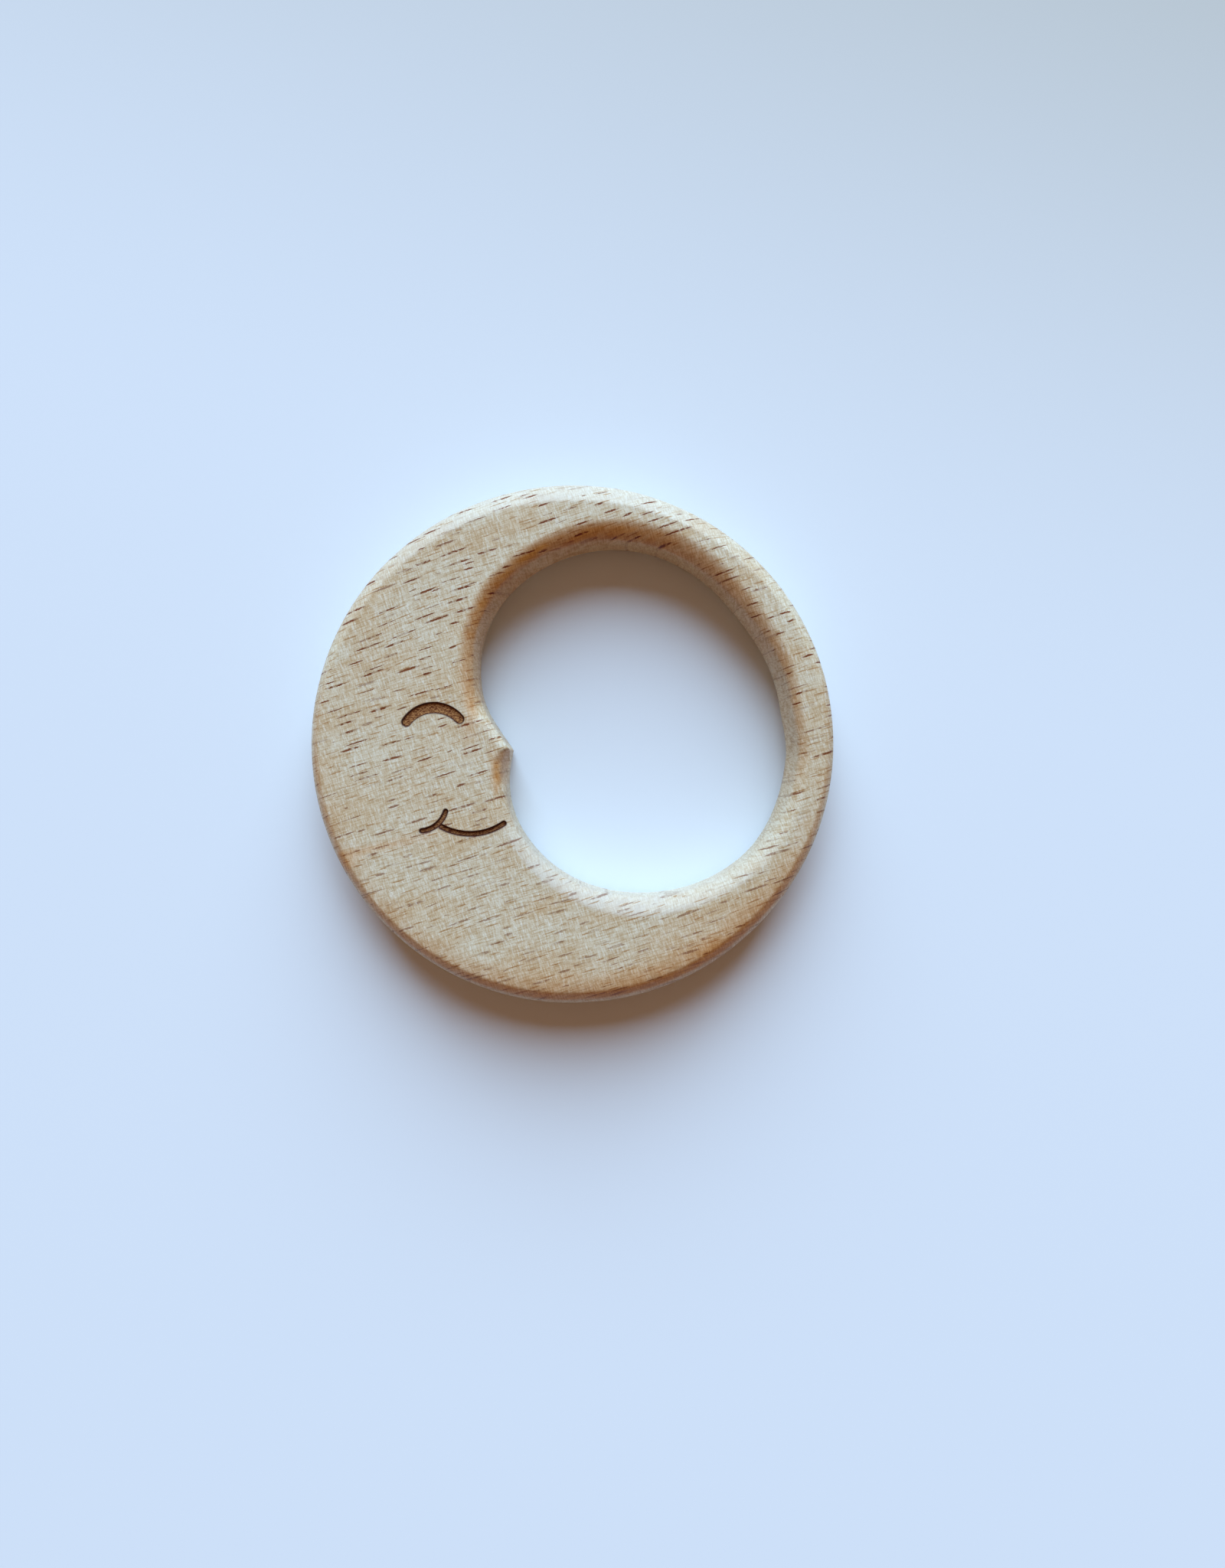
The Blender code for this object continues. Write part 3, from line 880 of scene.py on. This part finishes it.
def wood_material():
    material = bpy.data.materials.new("hand_sanded_beech")
    tree = Tree(material)
    millimetres, grain = wood_place(tree)
    smoother = tree.ramp(tree.attribute("wall"), *SMOOTHER_RAMP)
    fibres = tree.noise(grain, *SANDING_NOISE)
    fuzz = tree.math("MULTIPLY", tree.ramp(fibres, *FUZZ_RAMP), smoother)
    colour = bare_wood(tree, grain, fibres, fuzz)
    colour, sanded_and_lit = toned(tree, colour, grain, fibres)
    colour, strong_flecks = flecked(tree, colour, grain, millimetres, smoother)

    burn = tree.attribute("burn")
    groove = tree.attribute("groove")
    char_noise = tree.noise(grain, *CHAR_NOISE)
    char = tree.mix(tree.ramp(char_noise, *CHAR_RAMP), CHAR_DARK, CHAR_BROWN)
    char = tree.mix(tree.ramp(groove, *CHAR_FLOOR_RAMP), CHAR_WALL, char)
    tree.set(tree.shader.inputs["Base Color"], tree.mix(burn, colour, char))

    pores = tree.noise(grain, *PORE_NOISE)
    rough = tree.ramp(tree.math("MULTIPLY_ADD", fuzz, FUZZ_ROUGHER, pores), *SHEEN_RAMP)
    rough = tree.math("MULTIPLY_ADD", sanded_and_lit, SANDED_AND_LIT_ROUGHER, rough)
    rough = tree.math("MULTIPLY_ADD", burn, BURN_ROUGHER, rough)
    tree.set(tree.shader.inputs["Roughness"], rough)
    tree.shader.inputs["Specular IOR Level"].default_value = SPECULAR_LEVEL

    height = tree.math("MULTIPLY_ADD", strong_flecks, FLECK_RISE, pores)
    height = tree.math("MULTIPLY_ADD", fuzz, FUZZ_RISE, height)
    height = tree.math("MULTIPLY_ADD", tree.math("MULTIPLY", groove, char_noise), CHAR_RISE, height)
    inputs = {"Strength": BUMP_STRENGTH, "Distance": BUMP_HEIGHT * MM, "Height": height}
    tree.set(tree.shader.inputs["Normal"], tree.add("ShaderNodeBump", inputs).outputs[0])
    return material


# ---------------------------------------------------------------- the floor, light and camera


# The paper is pale blue round the ring and turns greyer beyond its top, a painted shade that darkens
# the sheet towards the top right: half the sheet's side, the way in which it turns and from where to
# where, in metres. It lies a little below the ring, in millimetres, so that the two don't share a
# plane.
PAPER_HALF = 1.5
PAPER_DROP = 0.05
PAPER_TURN_WAY = (0.35, 1.0, 0.0)
PAPER_TURN = (0.02, 0.22)
NEAR_PAPER = rgb(0.76, 0.83, 0.90)
FAR_PAPER = rgb(0.51, 0.525, 0.48)
PAPER_ROUGHNESS = 0.9
PAPER_SPECULAR_LEVEL = 0.2

# The window's lower and upper edge and its width in metres, its light in watts and its colour.
WINDOW_LOW = Vector((0.0, 10.5, 1.8))
WINDOW_HIGH = Vector((0.0, 15.0, 27.0))
WINDOW_WIDTH = 13.0
WINDOW_POWER = 9150.0
WINDOW_COLOUR = (0.573, 0.786, 1.0)
ROOM_COLOUR = rgb(0.245, 0.130, 0.073)

# The camera's lens, its sensor's width and its place, in millimetres, and its near limit in metres.
LENS = 30.43
SENSOR_WIDTH = 36.0
CAMERA_PLACE = (5.78, -5.88, 199.9)
CAMERA_NEAR = 0.01


def paper_material():
    material = bpy.data.materials.new("pale_paper")
    tree = Tree(material)
    here = tree.add("ShaderNodeTexCoord", {}).outputs["Object"]
    inputs = {0: here, 1: PAPER_TURN_WAY}
    beyond = tree.add("ShaderNodeVectorMath", inputs, operation="DOT_PRODUCT").outputs["Value"]
    # The greying beyond the ring's top is painted shade.
    colour = tree.mix(tree.ramp(beyond, *PAPER_TURN), NEAR_PAPER, FAR_PAPER)
    tree.set(tree.shader.inputs["Base Color"], colour)
    tree.shader.inputs["Roughness"].default_value = PAPER_ROUGHNESS
    tree.shader.inputs["Specular IOR Level"].default_value = PAPER_SPECULAR_LEVEL
    return material


def paper_floor():
    mesh = bpy.data.meshes.new("paper_floor")
    signs = ((-1, -1), (1, -1), (1, 1), (-1, 1))
    corners = [(x * PAPER_HALF, y * PAPER_HALF, 0.0) for x, y in signs]
    mesh.from_pydata(corners, [], [(0, 1, 2, 3)])
    mesh.materials.append(paper_material())
    floor = bpy.data.objects.new("paper_floor", mesh)
    floor.location = (0.0, 0.0, -PAPER_DROP * MM)
    bpy.context.collection.objects.link(floor)
    return floor


def window_light():
    """A tall pale window beyond the top of the ring, from just over the floor to high up."""
    upward = WINDOW_HIGH - WINDOW_LOW
    light = bpy.data.lights.new("window", "AREA")
    light.shape = "RECTANGLE"
    light.size = WINDOW_WIDTH
    light.size_y = upward.length
    light.color = WINDOW_COLOUR
    light.energy = WINDOW_POWER
    lamp = bpy.data.objects.new("window", light)
    side = Vector((-1.0, 0.0, 0.0))
    turn = Matrix((side, upward.normalized(), side.cross(upward).normalized())).transposed()
    lamp.matrix_world = Matrix.Translation((WINDOW_LOW + WINDOW_HIGH) / 2.0) @ turn.to_4x4()
    bpy.context.collection.objects.link(lamp)


def room_light():
    world = bpy.data.worlds.new("room")
    world.use_nodes = True
    background = world.node_tree.nodes["Background"]
    background.inputs["Color"].default_value = ROOM_COLOUR
    background.inputs["Strength"].default_value = 1.0
    bpy.context.scene.world = world


def camera():
    """Straight above the ring, looking down."""
    data = bpy.data.cameras.new("camera")
    data.lens = LENS
    data.sensor_width = SENSOR_WIDTH
    data.clip_start = CAMERA_NEAR
    view = bpy.data.objects.new("camera", data)
    view.location = [place * MM for place in CAMERA_PLACE]
    bpy.context.collection.objects.link(view)
    bpy.context.scene.camera = view


# ---------------------------------------------------------------- the scene

ring = build_ring()
ring.data.materials.append(wood_material())
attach(ring, "root")
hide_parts("moon_ring")
paper_floor()
window_light()
room_light()
camera()
bpy.context.scene.view_settings.view_transform = "Standard"
